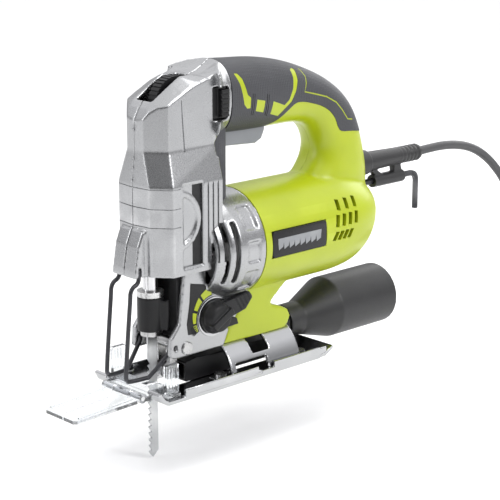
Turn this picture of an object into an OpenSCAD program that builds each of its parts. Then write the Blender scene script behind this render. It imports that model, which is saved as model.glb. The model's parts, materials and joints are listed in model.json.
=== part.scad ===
// Corded pendulum jigsaw with a D handle, a tilting steel shoe and a dust adapter.
// +X is the cutting direction, +Y the user's left and +Z up.
// The origin is the centre of the sole's flat face, on the sole plane.

/* [Shoe] */
// Width of the shoe
shoe_w = 65; // [64:0.5:66]
// Front end of the flat part of the sole
shoe_front = 67.5; // [67:0.5:68]
// Rear end of the flat part of the sole
shoe_rear = -68; // [-70:0.5:-67]
// Thickness of the shoe plate
shoe_t = 2.5; // [2:0.25:2.75]
// Outer radius of the saddle, which is also the bevel radius
saddle_r = 30; // [29.5:0.25:30]

/* [Motor] */
// Height of the motor axis above the sole
motor_z = 87; // [86.5:0.25:87.5]
// Outer radius of the motor housing
motor_r = 35.8; // [35.5:0.1:36]
// Outer radius of the laminated field
field_r = 27; // [26:0.5:28]
// Outer radius of the armature
armature_r = 18; // [17:0.5:18.25]
// Outer radius of the cooling fan
fan_r = 29; // [27:0.5:30]

/* [Gear train] */
// Tooth module of the pinion and the gear
tooth_module = 1; // [1]
// Teeth on the armature pinion
pinion_teeth = 10; // [10]
// Teeth on the drive gear
gear_teeth = 40; // [40]
// Radius of the crank, half of the blade stroke
crank_r = 10; // [8:0.5:10]

/* [Blade drive] */
// Distance of the plunger axis in front of the origin
plunger_x = 54; // [53.5:0.25:54.5]
// Radius of the plunger rod
plunger_r = 5; // [4.5:0.25:5]
// Radius of the blade clamp
clamp_r = 8.6; // [8:0.2:8.6]
// Depth of the blade from its back edge to its teeth
blade_depth = 7.6; // [7:0.1:8]
// Height of the blade's tip, which is below the sole
blade_tip_z = -47; // [-60:1:-40]

/* [Housing] */
// Wall of the plastic and cast covers
wall = 3; // [2.75:0.25:3]
// Thickness of the soft grip cover
grip_t = 1.6; // [1.4:0.1:1.8]
// Width of the handle's soft grip at its front
grip_w = 42; // [41:0.5:42]

/* [Dust extraction] */
// Outer radius of the vacuum end of the dust adapter
adapter_r = 21.5; // [20:0.5:21.5]
// Radius of the bore that the vacuum hose fits
adapter_bore_r = 16; // [15:0.5:17]

/* [Cord] */
// Diameter of the mains lead
cord_d = 6.5; // [6:0.25:7]
// Turns of the put-away lead in one layer of the coil
coil_turns = 4; // [4]

/* [Hidden] */
$fn = 64;
hull_fn = 32;
gap = 0.05;
run_gap = 0.05;
floor_z = -48;

// Gear train
pinion_pitch_r = tooth_module * pinion_teeth / 2;
gear_pitch_r = tooth_module * gear_teeth / 2;
gear_z = motor_z + pinion_pitch_r + gear_pitch_r;
crank_z = gear_z + crank_r;
gear_x0 = 19;
gear_x1 = 27;
axle_r = 4;

// Handle: each station is [outer x, outer z, inner x, inner z, half width]
grip_hw = grip_w / 2;
HANDLE = [
    [6, 208, 6, 161, grip_hw], [-12, 207, -12, 160, grip_hw - 0.5],
    [-35, 205.5, -33, 159.5, grip_hw - 2], [-57, 201.5, -50, 159.5, grip_hw - 3],
    [-77, 195, -64, 159.5, grip_hw - 3.5], [-95, 187, -76, 157.5, grip_hw - 4],
    [-110, 177, -83, 152.5, grip_hw - 4], [-121, 165, -87, 146, grip_hw - 4],
    [-128, 151, -88.5, 139, grip_hw - 3.5], [-133, 136, -86, 131, grip_hw - 3],
    [-136.5, 121, -80, 124, grip_hw - 2.5], [-137, 108, -70, 114, grip_hw - 2],
    [-133, 95, -66, 100, grip_hw - 2]];
handle_sides = 24;
handle_power = 0.82;

// Lead: the centre line from the strain relief to the coil, then from the coil to the plug
cord_r = cord_d / 2;
cord_floor = floor_z + cord_r;
LEAD = [[-201, 0, 120.5], [-215, 0, 121], [-230, 0, 121], [-245, 0, 119.5],
    [-260, 0, 116], [-274, 0, 110], [-287, 0.5, 101], [-297.5, 3, 89], [-304, 7.5, 75],
    [-307, 13.5, 60], [-308, 20, 44], [-308.5, 25, 27], [-309, 28, 9], [-310, 29, -8],
    [-313.5, 28, -22], [-320, 25, -33], [-329, 19, -41], [-339, 9.25, cord_floor],
    [-351, -2.75, cord_floor], [-361.5, -13.25, cord_floor]];
coil_layers = 2;
coil_x = -395;
coil_y = 18;
coil_mid_r = 36;
coil_half = cord_d * coil_turns / 2;
coil_inner_r = coil_mid_r - coil_half - 0.5;
coil_outer_r = coil_mid_r + coil_half + 0.5;
coil_h = cord_d * coil_layers;
TAIL = [[-379, 63.75, cord_floor], [-369, 63.75, cord_floor], [-358, 63.75, cord_floor],
    [-348, 63.75, cord_floor]];
plug_x = -348;
plug_y = 63.75;

// ---- helpers --------------------------------------------------------------

// An outline in X and Z, drawn out along Y about the middle plane
module side(outline, width) {
    rotate([90, 0, 0])
        linear_extrude(height = width, center = true)
            polygon(outline);
}

// An outline in X and Y, drawn out along Z
module plan(outline, z0, z1) {
    translate([0, 0, z0])
        linear_extrude(height = z1 - z0)
            polygon(outline);
}

// A box between two corners
module block(low, high) {
    translate(low)
        cube(high - low);
}

// Cylinders along each axis, between two places on it
module along_x(r, x0, x1, y = 0, z = 0) {
    translate([x0, y, z])
        rotate([0, 90, 0])
            cylinder(r = r, h = x1 - x0);
}

module along_y(r, y0, y1, x = 0, z = 0) {
    translate([x, y0, z])
        rotate([-90, 0, 0])
            cylinder(r = r, h = y1 - y0);
}

module along_z(r, z0, z1, x = 0, y = 0) {
    translate([x, y, z0])
        cylinder(r = r, h = z1 - z0);
}

module cone_x(r0, r1, x0, x1, y = 0, z = 0) {
    translate([x0, y, z])
        rotate([0, 90, 0])
            cylinder(r1 = r0, r2 = r1, h = x1 - x0);
}

// Keeps the half on one side of the middle plane: 1 is the left, -1 the right
module half(which) {
    big = 600;
    intersection() {
        children();
        translate([-big / 2, which > 0 ? 0 : -big, -big / 2])
            cube([big, big, big]);
    }
}

module both_sides() {
    children();
    mirror([0, 1, 0])
        children();
}

// A closed skin over rings of points that all have the same number of points
module skin(rings) {
    n = len(rings[0]);
    m = len(rings);
    points = [for (r = rings) each r];
    sides = [for (j = [0 : m - 2], i = [0 : n - 1], k = [0, 1])
        let (a = j * n + i, b = j * n + (i + 1) % n, c = a + n, d = b + n)
        k == 0 ? [a, d, b] : [a, c, d]];
    first = [for (i = [0 : n - 1]) i];
    last = [for (i = [n - 1 : -1 : 0]) (m - 1) * n + i];
    polyhedron(points = points, faces = concat([first], sides, [last]));
}

function unit(v) = v / norm(v);

function signed_power(v, e) = sign(v) * pow(abs(v), e);

// A round ring about a point of a path, square to the path's direction
function path_ring(path, i, r, n) =
    let (a = path[max(i - 1, 0)], b = path[min(i + 1, len(path) - 1)],
        t = unit(b - a),
        helper = abs(t[1]) > 0.9 ? [0, 0, 1] : [0, 1, 0],
        u = unit(cross(helper, t)), v = cross(t, u))
    [for (k = [0 : n - 1]) let (w = 360 * k / n) path[i] + r * (cos(w) * u + sin(w) * v)];

module tube(path, r, n) {
    skin([for (i = [0 : len(path) - 1]) path_ring(path, i, r, n)]);
}

// A helical spring of round wire along +Z
module spring(r, wire_r, height, turns) {
    per_turn = 14;
    steps = turns * per_turn;
    tube([for (i = [0 : steps]) let (w = 360 * i / per_turn)
        [r * cos(w), r * sin(w), wire_r + (height - 2 * wire_r) * i / steps]], wire_r, 6);
}

// One ring of the handle, its surface moved in by inset
function handle_ring(s, inset) =
    let (outer = [s[0], 0, s[1]], inner = [s[2], 0, s[3]],
        centre = (outer + inner) / 2, reach = (outer - inner) / 2,
        u = unit(reach) * (norm(reach) - inset), v = [0, s[4] - inset, 0])
    [for (k = [0 : handle_sides - 1]) let (w = 360 * (k + 0.5) / handle_sides)
        centre + signed_power(cos(w), handle_power) * u
            + signed_power(sin(w), handle_power) * v];

module handle_solid(inset) {
    skin([for (s = HANDLE) handle_ring(s, inset)]);
}

// Points of one involute tooth flank, from the root to the tip
function involute(base_r, r) =
    let (a = sqrt(max(pow(r / base_r, 2) - 1, 0))) a * 180 / PI - atan(a);

module gear_outline(teeth, add, ded, backlash) {
    pitch_r = tooth_module * teeth / 2;
    base_r = pitch_r * cos(20);
    tip_r = pitch_r + add;
    root_r = pitch_r - ded;
    half_pitch = 90 / teeth - backlash / pitch_r * 90 / PI;
    start_r = max(base_r, root_r);
    steps = 4;
    radii = [for (i = [0 : steps]) start_r + (tip_r - start_r) * i / steps];
    flank = [for (r = radii)
        [r, half_pitch + involute(base_r, pitch_r) - involute(base_r, r)]];
    polygon([for (t = [0 : teeth - 1]) let (mid = 360 * t / teeth)
        each concat(
            [[root_r * cos(mid - flank[0][1] - 1), root_r * sin(mid - flank[0][1] - 1)]],
            [for (p = flank) [p[0] * cos(mid - p[1]), p[0] * sin(mid - p[1])]],
            [for (i = [steps : -1 : 0]) let (p = flank[i])
                [p[0] * cos(mid + p[1]), p[0] * sin(mid + p[1])]],
            [[root_r * cos(mid + flank[0][1] + 1), root_r * sin(mid + flank[0][1] + 1)]])]);
}

// ---- gear covers ----------------------------------------------------------

head_rear = 14.5;
head_bottom = 79;
shoulder_low = 136;
shoulder_high = 157;
grip_front = 2;

function head_low_plan(d) = [[head_rear, -26 + d], [56.3 - d, -26 + d], [65.7 - d, -15],
    [67.5 - d, 0], [65.7 - d, 15], [56.3 - d, 26 - d], [head_rear, 26 - d]];
function head_high_plan(d) = [[grip_front, -20.5 + d], [54 - d, -19.5 + d], [64 - d, -8],
    [65 - d, 0], [64 - d, 8], [54 - d, 19.5 - d], [grip_front, 20.5 - d]];
function head_side(d) = [[head_rear + d, head_bottom], [67.5, head_bottom], [67.5 - d, 133],
    [66 - d, 149], [64.5 - d, 176 - d / 2], [58.5 - d, 187 - d], [50.5 - d, 197 - d],
    [41.7 - d / 2, 204.5 - d], [31, 208.4 - d], [18, 209.3 - d], [grip_front, 208.3 - d],
    [grip_front, 168 + d], [head_rear + d, 168 + d]];

module head_solid(d) {
    intersection() {
        side(head_side(d), 80);
        union() {
            plan(head_low_plan(d), head_bottom, shoulder_low);
            hull() {
                plan(head_low_plan(d), shoulder_low - 0.01, shoulder_low);
                plan([for (p = head_high_plan(d)) [max(p[0], head_rear), p[1]]],
                    shoulder_high, shoulder_high + 0.01);
            }
            plan(head_high_plan(d), shoulder_high, 215);
        }
    }
}

// The ring that joins the head to the motor housing
ring_rear = -14.4;
ring_taper = 8;
ring_front = 24;
ring_front_r = 31;

module ring_solid(d) {
    along_x(motor_r - d, ring_rear, ring_taper, z = motor_z);
    cone_x(motor_r - d, ring_front_r - d, ring_taper, ring_front, z = motor_z);
}

// The cast foot under the head, with the orbit knob on its left face
casting_w = 40;
CASTING = [[42, 80], [46.5, 46], [53.5, 37.5], [54.5, 25], [51, 23.5], [9, 23.5],
    [4.5, 33], [6, 37], [0, 38.5], [-13, 57], [-13, 75], [10, 80]];

// The boxed nose that carries the finger guard
NOSE = [[60, head_bottom], [75.5, head_bottom], [74.9, 84], [72.2, 99.3], [68.4, 108],
    [60, 108]];
nose_w = 23;

// The channel that the speed dial turns in
DIAL_CHANNEL = [[54.5, 188.5], [44, 193], [33, 197.5], [24, 200.5], [24, 206], [28, 214],
    [48, 214], [60, 196]];
dial_x = 34;
dial_z = 184;
dial_r = 16.5;

knob_x = 18.6;
knob_z = 45.6;
fork_x = 41;
fork_z = 29;
chamber_x = 29.5;

module gear_cavity() {
    difference() {
        union() {
            difference() {
                head_solid(wall);
                block([0, -40, head_bottom - 1], [80, 40, head_bottom + wall]);
            }
            block([head_rear + wall, -20, head_bottom - 1], [42, 20, head_bottom + wall + 1]);
            along_x(motor_r - wall, ring_rear - 1, ring_taper, z = motor_z);
            cone_x(motor_r - wall, ring_front_r - 2.7, ring_taper, ring_front, z = motor_z);
            block([-9, -17, 34], [26, 17, 70]);
        }
        // bulkheads that hold the two plunger bushes
        block([42, -40, 138], [80, 40, 150]);
        block([42, -40, head_bottom], [80, 40, 91]);
        // floor over the saddle
        along_x(34, -60, 12);
        // screw bosses
        for (p = cover_screw_places)
            along_y(boss_r, -40, 40, x = p[0], z = p[1]);
    }
    along_z(8, 70, 151, x = plunger_x);
    block([chamber_x, -16, 15], [64, 16, head_bottom]);
}

module cover_details() {
    // side pockets with a curved strap left standing in each
    both_sides() {
        difference() {
            plan([[31, 24.6], [48, 24.6], [48, 30], [31, 30]], 83, 137);
            along_y(19.4, 20, 32, x = 52.5, z = 114.5);
        }
        intersection() {
            plan([[31, 24.6], [48, 24.6], [48, 30], [31, 30]], 83, 137);
            along_y(15.9, 20, 32, x = 52.5, z = 114.5);
        }
        // two upright grooves behind the pocket
        for (x = [20, 25])
            block([x, 25, 82], [x + 1, 27, 135]);
        // cooling slots in the tapered ring
        for (x = [8, 15])
            block([x, 22, 68], [x + 3, 40, 108]);
        // blind windows around the ring
        for (z = [60, 80, 101])
            block([-9.5, 20, z], [1, 40, z + 14]);
    }
}

module window_floor() {
    along_x(motor_r - 1.8, -9.6, 1.1, z = motor_z);
}

module cover_body() {
    difference() {
        union() {
            head_solid(0);
            ring_solid(0);
            side(CASTING, casting_w);
            side(NOSE, nose_w);
        }
        difference() {
            cover_details();
            window_floor();
        }
        gear_cavity();
        // the front bearing bracket and the shoe's saddle
        along_x(saddle_r + 0.4, -60, 12.5);
        side(DIAL_CHANNEL, 15);
        along_y(dial_r + 0.8, -4.6, 4.6, x = dial_x, z = dial_z);
        block([dial_x - 12, -4.6, 190], [dial_x + 12, 4.6, 202]);
        // lock button window in the left cover
        block([4.5, 10, 172.5], [17.5, 30, 193.5]);
        // fork pin and knob shaft
        along_y(2.2, -25, 25, x = fork_x, z = fork_z);
        along_y(4.1, 10, 25, x = knob_x, z = knob_z);
        // ends of the guard wires
        both_sides()
            along_z(1.7, 70, 86, x = GUARD[0][0], y = GUARD[0][1]);
        both_sides()
            along_y(1.7, 13, 21, x = 50, z = 30.5);
        for (p = cover_screw_places) {
            along_y(2.2, -30, 18, x = p[0], z = p[1]);
            along_y(4.2, -32, -cover_screw_y, x = p[0], z = p[1]);
        }
    }
}

cover_screw_places = [[20, 161], [38, 161], [5, 46], [22, 62]];
cover_screw_y = 17.5;
boss_r = 5.2;

module gear_cover_left() {
    color("silver")
        half(1)
            cover_body();
}

module gear_cover_right() {
    color("silver")
        half(-1)
            cover_body();
}

module cover_screws() {
    color("dimgray")
        for (p = cover_screw_places)
            difference() {
                union() {
                    along_y(2, -cover_screw_y, 12, x = p[0], z = p[1]);
                    along_y(3.8, -cover_screw_y - 2, -cover_screw_y, x = p[0], z = p[1]);
                }
                along_y(1.5, -cover_screw_y - 3, -cover_screw_y - 0.8, x = p[0], z = p[1],
                    $fn = 6);
            }
}

// ---- motor housing and handle ----------------------------------------------

GRIP_REGION = [[grip_front - 0.2, 215], [grip_front - 0.2, 100], [-38, 100], [-38, 160],
    [-45, 166], [-58, 174.5], [-72, 173.5], [-84, 169], [-94, 160], [-101, 151.5],
    [-116, 149.5], [-145, 143], [-145, 215]];
// The rear of the motor housing: an elliptic dome, cut by a leaning plane
dome_x0 = -88;
dome_len = 50;
dome_end_r = 15;
FOOT = [[8.7, 23.5], [4.2, 33], [5.7, 36.8], [-0.3, 38.3], [-13.3, 56.8], [-13.3, 62],
    [-56, 62], [-50, 56.5], [-33, 43], [-45, 38.8], [-50.5, 36], [-53, 31], [-50.5, 25.5],
    [-46, 22.5]];
foot_w = 38;
boot_z = 120.5;
key_z = 105.5;
screw_x = -18;
HOUSING_SCREWS = [[-98, 168], [-120, 118], [-88, 116], [-30, 47]];
housing_screw_y = 13;

module barrel(d) {
    steps = 10;
    r = motor_r - d;
    // the inside runs on past the front face
    front = dome_x0 - ring_rear - (d > 0 ? 3 : 0);
    dome = [for (i = [0 : steps]) let (w = 90 * i / steps)
        [dome_end_r + (r - dome_end_r) * cos(w), dome_len * sin(w) - d * i / steps]];
    intersection() {
        translate([dome_x0, 0, motor_z])
            rotate([0, -90, 0])
                rotate_extrude()
                    polygon(concat([[0, front], [r, front]], dome, [[0, dome_len - d]]));
        side([[ring_rear + 5, 40], [-100 + d, 40], [-109 + d, 56], [-120 + d, 74],
            [-129 + d, 92], [-140 + d, 112], [-140 + d, 130], [ring_rear + 5, 130]], 100);
    }
}

// Three rows of leaning louvres on each side, with round ends
module vents() {
    both_sides()
        for (row = [0 : 2], i = [0 : 3])
            translate([-81 - i * 7 - row * 1.5, 20, 97 - row * 9])
                hull() {
                    along_y(1.4, 0, 20, z = 3, $fn = 12);
                    along_y(1.4, 0, 20, x = -1, z = -1.6, $fn = 12);
                }
}

module housing_body() {
    difference() {
        union() {
            barrel(0);
            handle_solid(0);
            side(FOOT, foot_w);
        }
        difference() {
            union() {
                barrel(wall);
                handle_solid(wall + 0.4);
            }
            // ribs that hold the field and the rear bearing
            for (x = [-66, -36])
                difference() {
                    along_x(motor_r, x, x + 3, z = motor_z);
                    along_x(field_r + 0.1, x - 1, x + 4, z = motor_z);
                }
            difference() {
                along_x(motor_r, -108, -100, z = motor_z);
                along_x(11.05, -109, -99, z = motor_z);
            }
            for (p = HOUSING_SCREWS)
                along_y(boss_r, -40, 40, x = p[0], z = p[1]);
        }
        // the grip cover's layer, and everything in front of the grip's front end
        difference() {
            side(GRIP_REGION, 60);
            handle_solid(grip_t + gap);
            barrel(-2);
        }
        block([-2.4, -60, 124], [30, 60, 215]);
        along_x(40, ring_rear, 40, z = motor_z);
        // trigger opening
        block([-40, -8.8, 148], [3, 8.8, 170]);
        // strain relief, key and vents
        along_x(9.1, -160, -131, z = boot_z);
        along_x(2.7, -160, -126, z = key_z);
        vents();
        along_x(saddle_r + 0.4, -60, 12.5);
        along_z(3.1, 15, 46, x = screw_x);
        block([-70, motor_r - 2.6, 79.3], [-19.5, 45, 97.5]);
        for (p = HOUSING_SCREWS) {
            along_y(2.1, -20, 13, x = p[0], z = p[1]);
            along_y(4, -60, -housing_screw_y, x = p[0], z = p[1]);
        }
    }
}

module housing_left() {
    color([0.68, 0.76, 0.1])
        half(1)
            housing_body();
}

module housing_right() {
    color([0.68, 0.76, 0.1])
        half(-1)
            housing_body();
}

// Each flash in the grip runs from one place in X and Z to another, at a half width
FLASHES = [[-3.5, 199.5, -10, 182, 1], [-10.5, 182, -13, 176, 2], [-24, 179.5, -26.5, 175, 2.6],
    [-36, 173.5, -43, 171, 2.6], [-44, 171.5, -52, 182, 1.3], [-52, 182, -57, 196, 1.3]];

module grip_body() {
    pillar_w = 30;
    difference() {
        union() {
            intersection() {
                side(GRIP_REGION, 60);
                difference() {
                    handle_solid(0);
                    handle_solid(grip_t);
                }
            }
            // the pillar in front of the finger gap
            block([1, -pillar_w / 2, 115], [head_rear - 0.3, pillar_w / 2, 167.7]);
        }
        block([3.5, -pillar_w / 2 + 2.5, 110], [11.8, pillar_w / 2 - 2.5, 170]);
        along_x(motor_r + 0.3, -20, 30, z = motor_z);
        block([-40, -8.8, 148], [1.2, 8.8, 170]);
        for (p = HOUSING_SCREWS)
            along_y(4, -60, -housing_screw_y, x = p[0], z = p[1]);
        // slots that show the housing under the grip as coloured flashes
        both_sides()
            for (a = FLASHES)
                hull() {
                    along_y(a[4], 8, 40, x = a[0], z = a[1], $fn = 16);
                    along_y(a[4], 8, 40, x = a[2], z = a[3], $fn = 16);
                }
    }
}

module grip_left() {
    color([0.22, 0.22, 0.24])
        half(1)
            grip_body();
}

module grip_right() {
    color([0.22, 0.22, 0.24])
        half(-1)
            grip_body();
}

module badge_plate() {
    color([0.15, 0.15, 0.16])
        block([-69.8, motor_r - 2.5, 79.5], [-19.7, motor_r + 0.1, 97.3]);
}

module housing_screws() {
    color("dimgray")
        for (p = HOUSING_SCREWS)
            difference() {
                union() {
                    along_y(1.9, -housing_screw_y, 12, x = p[0], z = p[1]);
                    along_y(3.7, -housing_screw_y - 2.2, -housing_screw_y, x = p[0], z = p[1]);
                }
                along_y(1.5, -housing_screw_y - 3, -housing_screw_y - 1, x = p[0], z = p[1],
                    $fn = 6);
            }
}

module chamber_liner() {
    color([0.08, 0.08, 0.09])
        difference() {
            block([chamber_x + 0.1, -15.8, 25], [45, 15.8, 78.8]);
            block([chamber_x + 1.6, -14.4, 20], [60, 14.4, 80]);
            block([chamber_x + 1.6, -20, 20], [60, 20, 34]);
        }
}

// ---- motor and bearings -----------------------------------------------------

shaft_r = 4;
bearing_w = 8;

module bearing(outer_r, x0) {
    race = 2;
    for (r = [outer_r, shaft_r + run_gap + race])
        difference() {
            along_x(r, x0, x0 + bearing_w, z = motor_z);
            along_x(r - race, x0 - 1, x0 + bearing_w + 1, z = motor_z);
        }
    ball_r = (outer_r - race - (shaft_r + race)) / 2 - 0.1;
    ring_r = (outer_r + shaft_r) / 2;
    for (i = [0 : 8])
        translate([x0 + bearing_w / 2, ring_r * cos(40 * i), motor_z + ring_r * sin(40 * i)])
            sphere(r = ball_r, $fn = 24);
}

module front_bearing() {
    color("lightgray")
        bearing(13, 0);
}

module rear_bearing() {
    color("lightgray")
        bearing(11, -108);
}

module bearing_bracket() {
    color("silver")
        difference() {
            union() {
                along_x(motor_r - wall - 0.2, 0, bearing_w, z = motor_z);
                along_x(5.8, bearing_w, 12, z = gear_z);
            }
            along_x(13.02, -1, bearing_w + 1, z = motor_z);
            along_x(axle_r, -1, 13, z = gear_z);
            for (a = [150, 210, 270, 330, 30])
                translate([0, 23 * cos(a), motor_z + 23 * sin(a)])
                    along_x(6, -1, bearing_w + 1);
            along_x(saddle_r + 4, -1, bearing_w + 1);
        }
}

module gear_axle() {
    color("gray")
        along_x(axle_r, 0.5, gear_x1 + 1, z = gear_z);
}

module field_stator() {
    pole_gap = 18.5;
    color([0.45, 0.4, 0.36])
        difference() {
            along_x(field_r, -70, -25, z = motor_z);
            along_x(pole_gap, -71, -24, z = motor_z);
            both_sides()
                along_x(7, -71, -24, y = 19, z = motor_z);
        }
    color([0.72, 0.38, 0.16])
        for (s = [-1, 1])
            intersection() {
                along_x(6.8, -75, -20, y = 19 * s, z = motor_z);
                difference() {
                    along_x(field_r - 1, -75, -20, z = motor_z);
                    along_x(pole_gap + 0.1, -76, -19, z = motor_z);
                }
            }
}

module armature_shaft() {
    color("lightgray") {
        along_x(shaft_r, -110, gear_x0 - 1, z = motor_z);
        translate([gear_x0 - 1, 0, motor_z])
            rotate([0, 90, 0])
                linear_extrude(height = gear_x1 - gear_x0 + 2)
                    rotate(180)
                        gear_outline(pinion_teeth, 1, 1.2, 0.25);
    }
}

module armature_core() {
    slots = 12;
    color([0.5, 0.45, 0.4])
        difference() {
            along_x(armature_r, -68, -27, z = motor_z);
            along_x(shaft_r, -69, -26, z = motor_z);
            for (i = [0 : slots - 1])
                translate([0, 0, motor_z])
                    rotate([i * 360 / slots, 0, 0])
                        block([-69, -1.2, 11], [-26, 1.2, armature_r + 1]);
        }
}

module commutator() {
    bars = 24;
    color([0.75, 0.45, 0.25])
        difference() {
            along_x(11, -90, -76, z = motor_z);
            along_x(shaft_r, -91, -75, z = motor_z);
            for (i = [0 : bars - 1])
                translate([0, 0, motor_z])
                    rotate([i * 360 / bars, 0, 0])
                        block([-91, -0.2, 10], [-78, 0.2, 12]);
        }
}

module cooling_fan() {
    blades = 11;
    color([0.2, 0.2, 0.2])
        difference() {
            union() {
                along_x(fan_r, -13.5, -12, z = motor_z);
                along_x(8, -13.5, -5, z = motor_z);
                for (i = [0 : blades - 1])
                    translate([0, 0, motor_z])
                        rotate([i * 360 / blades, 0, 0])
                            block([-12.8, -0.8, 6.4], [-5.6, 0.8, fan_r - 1.6]);
            }
            along_x(shaft_r, -14, -4, z = motor_z);
        }
}

module brush_holders() {
    color([0.6, 0.5, 0.3])
        both_sides()
            difference() {
                block([-88, 13, motor_z - 4.5], [-78, 29, motor_z + 4.5]);
                block([-86.5, 12, motor_z - 3], [-79.5, 27.5, motor_z + 3]);
            }
}

module carbon_brushes() {
    color([0.12, 0.12, 0.12])
        both_sides()
            block([-86.4, 11.3, motor_z - 2.9], [-79.6, 24, motor_z + 2.9]);
}

// ---- gear, crank and plunger ------------------------------------------------

module drive_gear() {
    color("gray")
        difference() {
            union() {
                translate([gear_x0, 0, gear_z])
                    rotate([0, 90, 0])
                        linear_extrude(height = gear_x1 - gear_x0)
                            rotate(180 / gear_teeth)
                                gear_outline(gear_teeth, 0.85, 1.25, 0.25);
                along_x(5.6, gear_x0 - 1.4, gear_x0, z = gear_z);
                along_x(3, gear_x1 - 1, 35.6, z = crank_z);
            }
            along_x(axle_r + run_gap, 0, gear_x1 + 1, z = gear_z);
            for (a = [30, 90, 150, 210, 270, 330])
                if (abs(a - 90) > 45)
                    translate([0, 12.5 * cos(a), gear_z + 12.5 * sin(a)])
                        along_x(3.5, 0, gear_x1 + 1);
        }
}

module crank_roller() {
    color("lightgray")
        difference() {
            along_x(5, 29, 35.4, z = crank_z);
            along_x(3.05, 28, 36, z = crank_z);
        }
}

yoke_x = 36;

module yoke() {
    color("dimgray")
        difference() {
            union() {
                block([yoke_x, -18, crank_z - 8], [yoke_x + 4, 18, crank_z + 8]);
                block([yoke_x + 3, -7, crank_z - 8], [plunger_x + 6.5, 7, crank_z + 8]);
            }
            block([yoke_x - 1, -crank_r - 5.3, crank_z - 5.3],
                [yoke_x + 5, crank_r + 5.3, crank_z + 5.3]);
            along_z(plunger_r + 0.01, crank_z - 9, crank_z + 9, x = plunger_x);
        }
}

rod_low = 40;
rod_high = 172;

module plunger() {
    color("lightgray")
        difference() {
            along_z(plunger_r, rod_low, rod_high, x = plunger_x);
            along_z(2, rod_high - 20, rod_high + 1, x = plunger_x);
        }
}

module bush(z0, z1) {
    color("goldenrod")
        difference() {
            along_z(7.98, z0, z1, x = plunger_x);
            along_z(plunger_r + run_gap, z0 - 1, z1 + 1, x = plunger_x);
        }
}

module upper_bush() {
    bush(138, 150);
}

module lower_bush() {
    bush(78, 91);
}

// The fixed hub of the blade clamp, split below for the blade's shank
hub_low = 36.5;
hub_high = 66;
sleeve_low = 40;
sleeve_high = 62;
hub_r = 6.6;

module clamp_hub() {
    color([0.5, 0.5, 0.52])
        difference() {
            union() {
                along_z(hub_r, hub_low, hub_high, x = plunger_x);
                along_z(clamp_r, hub_high - 3.5, hub_high, x = plunger_x);
            }
            along_z(plunger_r + 0.01, rod_low, hub_high + 1, x = plunger_x);
            block([blade_back - 0.2, -0.8, hub_low - 1],
                [blade_back + blade_depth + 0.2, 0.8, rod_low]);
            // groove for the clamp's spring
            difference() {
                along_z(hub_r + 1, 55, 61, x = plunger_x);
                along_z(5.4, 54, 62, x = plunger_x);
            }
        }
}

module clamp_sleeve() {
    color([0.12, 0.12, 0.13])
        difference() {
            union() {
                along_z(clamp_r, sleeve_low, sleeve_high, x = plunger_x);
                hull() {
                    along_z(5, sleeve_low + 1, sleeve_high - 2, x = plunger_x, $fn = hull_fn);
                    along_z(2.2, sleeve_low + 1, sleeve_high - 2, x = plunger_x - 5, y = 9.6,
                        $fn = hull_fn);
                }
            }
            along_z(hub_r + run_gap, sleeve_low - 1, sleeve_high + 1, x = plunger_x);
        }
}

module clamp_spring() {
    color("lightgray")
        translate([plunger_x, 0, 55.2])
            spring(6, 0.35, 5.4, 4);
}

blade_back = 49.6;
blade_t = 1.2;

module blade() {
    pitch = 4.2;
    teeth = 16;
    front = blade_back + blade_depth;
    low = blade_tip_z;
    color("lightsteelblue")
        side(concat([[blade_back, rod_low - 0.2], [blade_back, low + 4],
                [blade_back + 4.5, low]],
            [for (i = [0 : teeth - 1], k = [0, 1])
                [front - (k == 0 ? 2.2 : 0), low + 0.8 + (i + k * 0.85) * pitch]],
            [[front, rod_low - 0.2]]), blade_t);
}

// ---- pendulum fork -----------------------------------------------------------

roller_x = 45.3;
roller_z = 10.5;
roller_r = 4.25;

module fork_pin() {
    color("lightgray") {
        along_y(2.15, -21, 20.5, x = fork_x, z = fork_z);
        along_y(3.4, casting_w / 2 + 0.1, 21.6, x = fork_x, z = fork_z);
    }
}

module roller_fork() {
    arm = [[37.5, 27], [39.3, 9], [41.5, 6.3], [47.3, 6.3], [48.6, 9], [48.2, 13.5],
        [44.6, 16.5], [44.7, 27]];
    color("gray")
        difference() {
            union() {
                both_sides()
                    translate([0, 5.5, 0])
                        side(arm, 3);
                along_y(3.7, -7, 7, x = fork_x, z = fork_z);
            }
            along_y(2.15 + run_gap, -8, 8, x = fork_x, z = fork_z);
            along_y(1.5, -8, 8, x = roller_x, z = roller_z);
        }
}

module roller_axle() {
    color("lightgray")
        along_y(1.5, -7.2, 7.2, x = roller_x, z = roller_z);
}

module guide_roller() {
    color("silver")
        difference() {
            along_y(roller_r, -3.6, 3.6, x = roller_x, z = roller_z);
            along_y(1.5 + run_gap, -5, 5, x = roller_x, z = roller_z);
            difference() {
                along_y(roller_r + 1, -1.3, 1.3, x = roller_x, z = roller_z);
                along_y(roller_r - 0.6, -1.4, 1.4, x = roller_x, z = roller_z);
            }
        }
}

// ---- controls ------------------------------------------------------------------

module orbit_knob() {
    base_y = casting_w / 2 + 0.3;
    color([0.1, 0.1, 0.11]) {
        along_y(11, base_y, base_y + 3, x = knob_x, z = knob_z);
        translate([knob_x, base_y + 3, knob_z])
            rotate([-90, 0, 0])
                cylinder(r1 = 10.6, r2 = 8.6, h = 5);
        along_y(4, 12, base_y + 1, x = knob_x, z = knob_z);
        translate([0, base_y + 3.4, 0])
            side([[knob_x - 3, knob_z + 9], [-8.5, 58], [-11.5, 54.5], [-5, 47],
                [knob_x - 9, knob_z - 2]], 4.6);
        translate([0, base_y + 1.5, 0])
            side([[knob_x - 5, knob_z - 9], [-1, 37], [0.5, 41.5], [knob_x - 8, knob_z]], 3);
    }
}

trigger_x = -1;
trigger_z = 161;

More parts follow.
